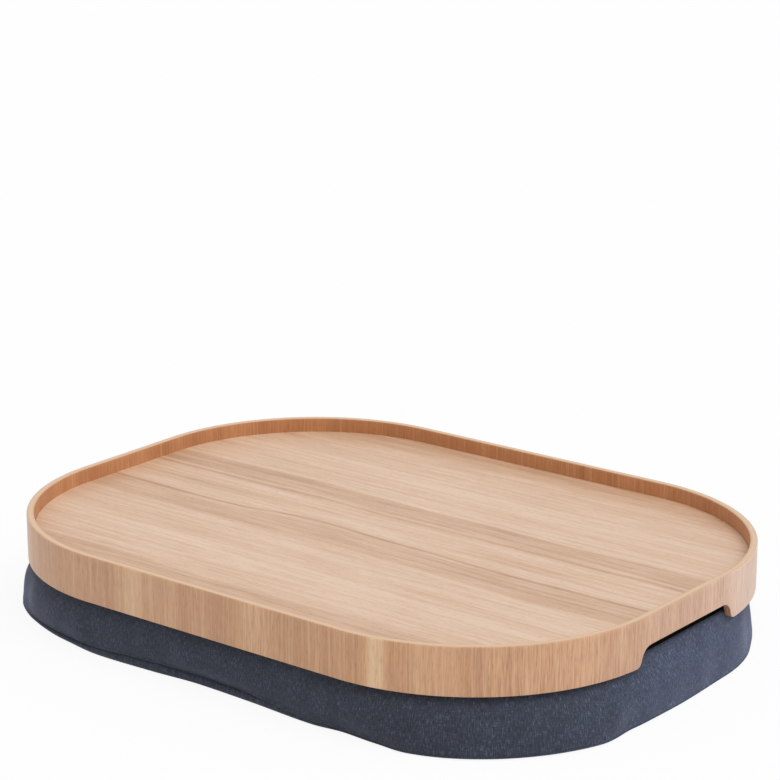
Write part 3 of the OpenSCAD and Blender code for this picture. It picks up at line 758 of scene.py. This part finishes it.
# Weave coordinates: round the side and down it to the lap, and plain across the panels
faces = np.array(faces)
side_count = (len(fine_down) - 1) * ring_count
is_top = np.arange(len(faces)) < side_count + PATCH_LONG * PATCH_SHORT * SCALE ** 2
is_top[:side_count] = np.repeat((fine_down[:-1] + fine_down[1:]) / 2 < seam_ways[0], ring_count)
weave = vertices[faces][..., :2]
side_faces = faces[:side_count][~is_top[:side_count]]
columns = side_faces % ring_count
wraps = np.ptp(columns, axis=1)[:, None] > 1
weave[:side_count][~is_top[:side_count]] = np.stack([
    fine_ways[columns] + ROUND * (wraps & (columns == 0)), -fine_down[side_faces // ring_count]], -1)
lay_uv(cover, "weave", weave)
cover.data.polygons.foreach_set("material_index", is_top.astype(np.int32))

# The opening for the zip: its edges turned in behind the coil
POCKET = 3 * MM
mesh = bmesh.new()
mesh.from_mesh(cover.data)
mesh.faces.ensure_lookup_table()
slot_rows = [int(np.argmin(np.abs(fine_down - way))) for way in slot_ways]
inside = [mesh.faces[r * ring_count + c] for r in range(slot_rows[0], slot_rows[1])
          for c in range(min(end_columns), max(end_columns))]
turned = bmesh.ops.extrude_face_region(mesh, geom=inside)["geom"]
bmesh.ops.translate(mesh, verts=[g for g in turned if isinstance(g, bmesh.types.BMVert)], vec=(0, -POCKET, 0))
bmesh.ops.delete(mesh, geom=inside, context="FACES")
bmesh.ops.recalc_face_normals(mesh, faces=mesh.faces)
mesh.to_mesh(cover.data)
mesh.free()

# Canvas: dark navy and pale grey yarns spun together, with slubs that show as upright flecks
canvas, tree, shader = new_material("slate_canvas")
uv = add(tree, "UVMap", uv_map="weave")
# Yarns are 0.5 mm, and are drawn 0.6 and 0.7 mm wide so that they show
warp = stretched(tree, uv, (0.6, 3), 2, (5.1, -5.1), 0.5)
weft = stretched(tree, uv, (2.6, 0.7), 1, (9.7, -9.7), 0.5)
cloud = stretched(tree, uv, (9, 14), 2, (15.3, -15.3), 0.5)
tone = add(tree, "Math", {0: warp, 1: 0.6}, operation="MULTIPLY")
for part, share in ((weft, 0.25), (cloud, 0.15)):
    tone = add(tree, "Math", {0: part, 1: share, 2: tone}, operation="MULTIPLY_ADD")
cloth_colour = add(tree, "ValToRGB", {"Fac": tone}, stops=[
    (0.38, "#2E3139"), (0.48, "#363A44"), (0.56, "#3B404C"), (0.68, "#525866")])
# Painted light and sheen: the canvas is made paler and bluer round the right end, where the light falls
way = add(tree, "Math", {0: add(tree, "SeparateXYZ", {0: uv}), 1: ROUND}, operation="DIVIDE")
painted_right_light = add(tree, "ValToRGB", {"Fac": way}, stops=[(u * MM / ROUND, v) for u, v in (
    (0, 0), (460, 0), (530, 0.08), (590, 0.25), (630, 0.45), (690, 0.45), (730, 0.45), (800, 0))])
PAINTED_LIGHT_TINT = (2.3, 2.45, 2.95, 1)
cloth_colour = add(tree, "Mix", {"Factor": painted_right_light, 6: cloth_colour, 7: PAINTED_LIGHT_TINT}, 2, data_type="RGBA",
                   blend_type="MULTIPLY")
# The weave's relief: threads 0.7 mm apart
in_mm = add(tree, "Mapping", {"Vector": uv, "Scale": (1000, 1000, 1)})
threads = add(tree, "TexWave", {"Vector": in_mm, "Scale": 0.45}, 1, bands_direction="X")
relief = add(tree, "Math", {0: threads, 1: warp}, operation="ADD")
bump = add(tree, "Bump", {"Height": relief, "Strength": 0.3, "Distance": 0.12 * MM})
feed(tree, shader, {"Base Color": cloth_colour, "Normal": bump, "Roughness": 0.9, "Sheen Weight": 0.38,
                    "Sheen Roughness": 0.4, "Sheen Tint": linear("#C4CBE8"),
                    "Specular IOR Level": 0.25})
cover.data.materials.append(canvas)


def speckled(name, speckle_mm, detail, dark, pale, inputs, relief=None):
    """A plain material in a fine speckle of two shades, with its relief's strength and depth in mm."""
    made, tree, shader = new_material(name)
    speckle = add(tree, "TexNoise", {"Scale": 1 / (speckle_mm * MM), "Detail": detail})
    colour = add(tree, "ValToRGB", {"Fac": speckle}, stops=[dark, pale])
    feed(tree, shader, {"Base Color": colour, **inputs})
    if relief:
        bump = add(tree, "Bump", {"Height": speckle, "Strength": relief[0], "Distance": relief[1] * MM})
        feed(tree, shader, {"Normal": bump})
    return made


# Thin black cloth, dull and felted; its black is painted shade for the hollow under the panel, seen through
# the grips
black_shade_top = speckled("black_top_painted_shade", 0.8, 3, (0.35, "#131417"), (0.65, "#282A2F"),
                  {"Roughness": 0.95, "Specular IOR Level": 0.2}, (0.4, 0.1))
cover.data.materials.append(black_shade_top)
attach(cover, "cushion")
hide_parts("cover_top", "cover_side_band", "cover_bottom")

# Liner and beads: a thin cotton bag in two halves sewn round their middle, full of white beads. It
# lies loose in the cover, a few millimetres smaller.
LINER_IN, FILL_IN = 4.5 * MM, 5.3 * MM
LINER_BASE, FILL_BASE = 1 * MM, 1.6 * MM
LINER_SHARE, FILL_SHARE = 0.93, 0.9
PUCKER, PUCKER_PITCH, PUCKER_HALF_H = 0.3 * MM, 14 * MM, 3 * MM
# Unbleached calico, and white beads of expanded polystyrene, 3 mm across
cotton = speckled("cotton_calico", 1.2, 2, (0.3, "#D9D6CC"), (0.7, "#EFEDE6"), {"Roughness": 0.9})
beads, tree, shader = new_material("polystyrene_beads")
balls = add(tree, "TexVoronoi", {"Scale": 1 / (3 * MM)})
balls = add(tree, "ValToRGB", {"Fac": balls}, stops=[(0.1, "#F6F6F4"), (0.8, "#D8D8D6")])
feed(tree, shader, {"Base Color": balls, "Roughness": 0.7})

sim_outward = outward[::SCALE, :2]


def inner_bag(name, drawn_in, base, share, material, slot, *replaced):
    """A bag in the cushion's own form, drawn in and lower, with a puckered seam round its middle."""
    bag_rows = sim_rows.copy()
    bag_rows[..., :2] -= drawn_in * sim_outward
    seam = np.exp(-((sim_rows[..., 2] - rim_low.z / 2) / PUCKER_HALF_H) ** 2)
    puckers = 1 + 0.5 * np.cos(2 * math.pi * sim_ways / PUCKER_PITCH)
    bag_rows[..., :2] -= (PUCKER * seam * puckers)[..., None] * sim_outward
    bag_rows[..., 2] = base + share * sim_rows[..., 2]
    vertices, faces = closed_form(bag_rows, 1, lambda x, y: base + share * top_height(x, y), base)
    made = piece(name, vertices, faces, 60)
    dress(made, material)
    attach(made, "cushion")
    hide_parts(*replaced)
    return made


liner = inner_bag("cushion_liner", LINER_IN, LINER_BASE, LINER_SHARE, cotton, "cotton",
                  "liner_top", "liner_bottom")
inner_bag("cushion_beads", FILL_IN, FILL_BASE, FILL_SHARE, beads, "beads", "bead_fill")

# Hook and loop tape: woven nylon strips, glued under the panel and sewn on the cushion. Stiff hooks
# stand in rows on one, and a soft pile of loops on the other.
TAPE_CELL = 1.25 * MM
TAPE_EDGE = 1.3 * TAPE_CELL
HOOK_H, LOOP_H = 0.7 * MM, 0.4 * MM
EVEN_SHARE = 0.8


def tape_strip(node, up, pile_h, seed):
    """A strip in its node's box whose working side stands in a field of hooks or loops."""
    low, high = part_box(node)
    count_x = max(2, round((high.x - low.x) / TAPE_CELL))
    count_y = max(2, round((high.y - low.y) / TAPE_CELL))
    gx, gy = np.meshgrid(np.linspace(low.x, high.x, count_x + 1), np.linspace(low.y, high.y, count_y + 1))
    edge = np.minimum.reduce([gx - low.x, high.x - gx, gy - low.y, high.y - gy])
    random = np.random.default_rng(seed)
    stand = EVEN_SHARE * (np.indices(gx.shape).sum(0) % 2) + (1 - EVEN_SHARE) * random.random(gx.shape)
    sunk = pile_h * (1 - np.where(edge > TAPE_EDGE, stand, 0))
    face, base = (high.z - sunk, low.z) if up else (low.z + sunk, high.z)
    points = [*np.stack([gx, gy, face], -1).reshape(-1, 3),
              *np.stack([gx, gy, np.full_like(gx, base)], -1).reshape(-1, 3)]
    number = np.arange(gx.size).reshape(gx.shape)
    border = np.concatenate([number[0], number[1:, -1], number[-1, -2::-1], number[-2:0:-1, 0]])
    after = np.roll(border, -1)
    sides = np.stack([border, border + gx.size, after + gx.size, after], -1).tolist()
    faces = grid_faces(number) + grid_faces(number[::-1] + gx.size) + sides
    # A strip that looks down has its faces the other way round
    return piece(node + "_tape", points, faces if up else [f[:1] + f[:0:-1] for f in faces], 50)


# Black woven nylon with a fine speckle of light on its pile: stiff hooks shine a little, loops don't
PILE_RELIEF = 0.6, 0.2
hook_nylon = speckled("hook_tape_nylon", 0.7, 3, (0.3, "#101012"), (0.7, "#26262A"),
                      {"Roughness": 0.5, "Sheen Weight": 0}, PILE_RELIEF)
loop_nylon = speckled("loop_tape_nylon", 0.7, 3, (0.3, "#141417"), (0.7, "#333339"),
                      {"Roughness": 0.95, "Sheen Weight": 0.4}, PILE_RELIEF)
for number, side in enumerate(("front", "back", "left", "right")):
    hooks = tape_strip(f"hook_strip_{side}", False, HOOK_H, 100 + number)
    dress(hooks, hook_nylon)
    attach(hooks, "tray")
    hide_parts(f"hook_strip_{side}")
    loops = tape_strip(f"loop_strip_{side}", True, LOOP_H, 200 + number)
    dress(loops, loop_nylon)
    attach(loops, "cushion")
    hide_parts(f"loop_strip_{side}")

# Zip: woven black tapes behind the opening, each with half of a nylon coil sewn on its inner edge,
# crimped metal stops at the ends, and a die-cast slider with a flat pull.
zip_woven = speckled("zip_tape_woven", 0.7, 3, (0.3, "#15161A"), (0.7, "#2A2C32"),
                     {"Roughness": 0.85, "Sheen Weight": 0.2}, PILE_RELIEF)
dress(nodes["zip_tape_upper"], zip_woven)
dress(nodes["zip_tape_lower"], zip_woven)

# Drawn nylon wire, smooth and a little glossy
coil_nylon = speckled("zip_coil_nylon", 2, 2, (0.3, "#0E0F11"), (0.7, "#1C1D21"), {"Roughness": 0.35})
COIL_PITCH = 1.5 * MM
WIRE_R = 0.27 * MM
WIRE_SIDES, TURN_STEPS = 6, 12
# The lower half's turns stand between the upper one's
for turn_share, name in ((0, "zip_coil_upper"), (0.5, "zip_coil_lower")):
    low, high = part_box(name)
    turns = int((high.x - low.x - 2 * WIRE_R) / COIL_PITCH)
    angle = np.linspace(0, 2 * math.pi * turns, turns * TURN_STEPS + 1)
    phase = angle + 2 * math.pi * turn_share
    middle = np.stack([low.x + WIRE_R + COIL_PITCH * angle / (2 * math.pi),
                       np.full(len(angle), (low.y + high.y) / 2),
                       np.full(len(angle), (low.z + high.z) / 2)], -1)
    radius_y = (high.y - low.y) / 2 - WIRE_R
    radius_z = (high.z - low.z) / 2 - WIRE_R
    outside = np.stack([np.zeros(len(angle)), radius_y * np.sin(phase), radius_z * np.cos(phase)], -1)
    line = middle + outside
    heading = np.gradient(line, axis=0)
    heading /= np.linalg.norm(heading, axis=1, keepdims=True)
    outside -= (outside * heading).sum(1, keepdims=True) * heading
    outside /= np.linalg.norm(outside, axis=1, keepdims=True)
    across = np.cross(heading, outside)
    around = np.arange(WIRE_SIDES) * 2 * math.pi / WIRE_SIDES
    tube = line[:, None] + WIRE_R * (np.cos(around)[None, :, None] * outside[:, None]
                                     + np.sin(around)[None, :, None] * across[:, None])
    last_ring = (len(line) - 1) * WIRE_SIDES
    faces = ring_faces(len(line), WIRE_SIDES)
    faces += [range(WIRE_SIDES)[::-1], range(last_ring, last_ring + WIRE_SIDES)]
    coil = piece(name + "_turns", tube.reshape(-1, 3), faces, 70)
    dress(coil, coil_nylon)
    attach(coil, "cushion")
    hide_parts(name)

# Cast zinc in a dark finish, a little worn
zinc = speckled("zinc_cast_dark", 3, 3, (0.35, "#3A3B3E"), (0.7, "#5C5E62"),
                {"Metallic": 1, "Roughness": 0.38})
dress(nodes["zip_closed_end_stops"], zinc)
dress(nodes["zip_open_end_stop"], zinc)


def rounded(name, node, body):
    """A cast piece in its node's own shape, with every edge rounded over by 0.2 mm."""
    made = bpy.data.objects.new(name, nodes[node].data.copy())
    scene.collection.objects.link(made)
    shape = bmesh.new()
    shape.from_mesh(made.data)
    bmesh.ops.remove_doubles(shape, verts=shape.verts, dist=1e-6)
    bmesh.ops.dissolve_limit(shape, angle_limit=math.radians(1), verts=shape.verts, edges=shape.edges)
    sharp = [e for e in shape.edges if len(e.link_faces) == 2 and e.calc_face_angle() > math.radians(30)]
    bmesh.ops.bevel(shape, geom=sharp, offset=0.2 * MM, segments=2, profile=0.5, affect="EDGES",
                    clamp_overlap=True)
    shape.to_mesh(made.data)
    shape.free()
    made.data.shade_smooth()
    made.data.set_sharp_from_angle(angle=math.radians(40))
    dress(made, zinc)
    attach(made, body)
    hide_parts(node)
    return made


rounded("zip_slider_cast", "zip_slider", "slider")
rounded("zip_pull_cast", "zip_pull", "pull")

# Floor and light: a white table 12 m across in a white room, a large soft lamp high on the right, a
# weaker one behind it and a faint one from the left, and the room's own light all round.
floor = piece("floor", [(-6, -6, 0), (6, -6, 0), (6, 6, 0), (-6, 6, 0)], [(0, 1, 2, 3)])
floor.location.z = -0.2 * MM
SHOWN_WHITE = 0.9
white, tree, shader = new_material("white_table")
feed(tree, shader, {"Base Color": linear("#FAFAFA"), "Roughness": 0.9})


def straight_share(tree, share):
    """The share where a ray comes straight from the camera, off a gloss or through glass, else 0."""
    seen = add(tree, "LightPath", out="all")
    straight = seen["Is Camera Ray"]
    for other in ("Is Glossy Ray", "Is Transmission Ray"):
        straight = add(tree, "Math", {0: straight, 1: seen[other]}, operation="MAXIMUM")
    return add(tree, "Math", {0: straight, 1: share}, operation="MULTIPLY")


glow = add(tree, "Emission", {"Color": (1, 1, 1, 1), "Strength": 1})
shown = straight_share(tree, SHOWN_WHITE)
both = add(tree, "MixShader", {0: shown, 1: shader.outputs[0], 2: glow})
feed(tree, tree.nodes["Material Output"], {"Surface": both})
floor.data.materials.append(white)

room = bpy.data.worlds.new("room")
room.use_nodes = True
scene.world = room
tree = room.node_tree
ROOM_LIGHT = 0.45
level = add(tree, "MapRange", {"Value": straight_share(tree, 1), 3: ROOM_LIGHT, 4: 1})
feed(tree, tree.nodes["Background"], {"Strength": level, "Color": (1, 1, 1, 1)})

# Name, the way to the lamp, its power, its size in degrees and its colour
lamps = [("soft_box", (0.48, -0.18, 0.94), 1.5, 50, "#FFFFFF"),
         ("side_box", (0.72, 0.6, 0.3), 0.6, 60, "#EEF4FF"),
         ("left_card", (-0.95, -0.25, 0.2), 0.16, 60, "#E2E9FF")]
for name, toward, power, size, colour in lamps:
    lamp_data = bpy.data.lights.new(name, "SUN")
    lamp_data.angle = math.radians(size)
    lamp_data.energy = power
    lamp_data.color = linear(colour)[:3]
    lamp = bpy.data.objects.new(name, lamp_data)
    lamp.location = toward
    lamp.rotation_euler = lamp.location.to_track_quat("Z", "Y").to_euler()
    scene.collection.objects.link(lamp)

scene.view_settings.view_transform = "Standard"
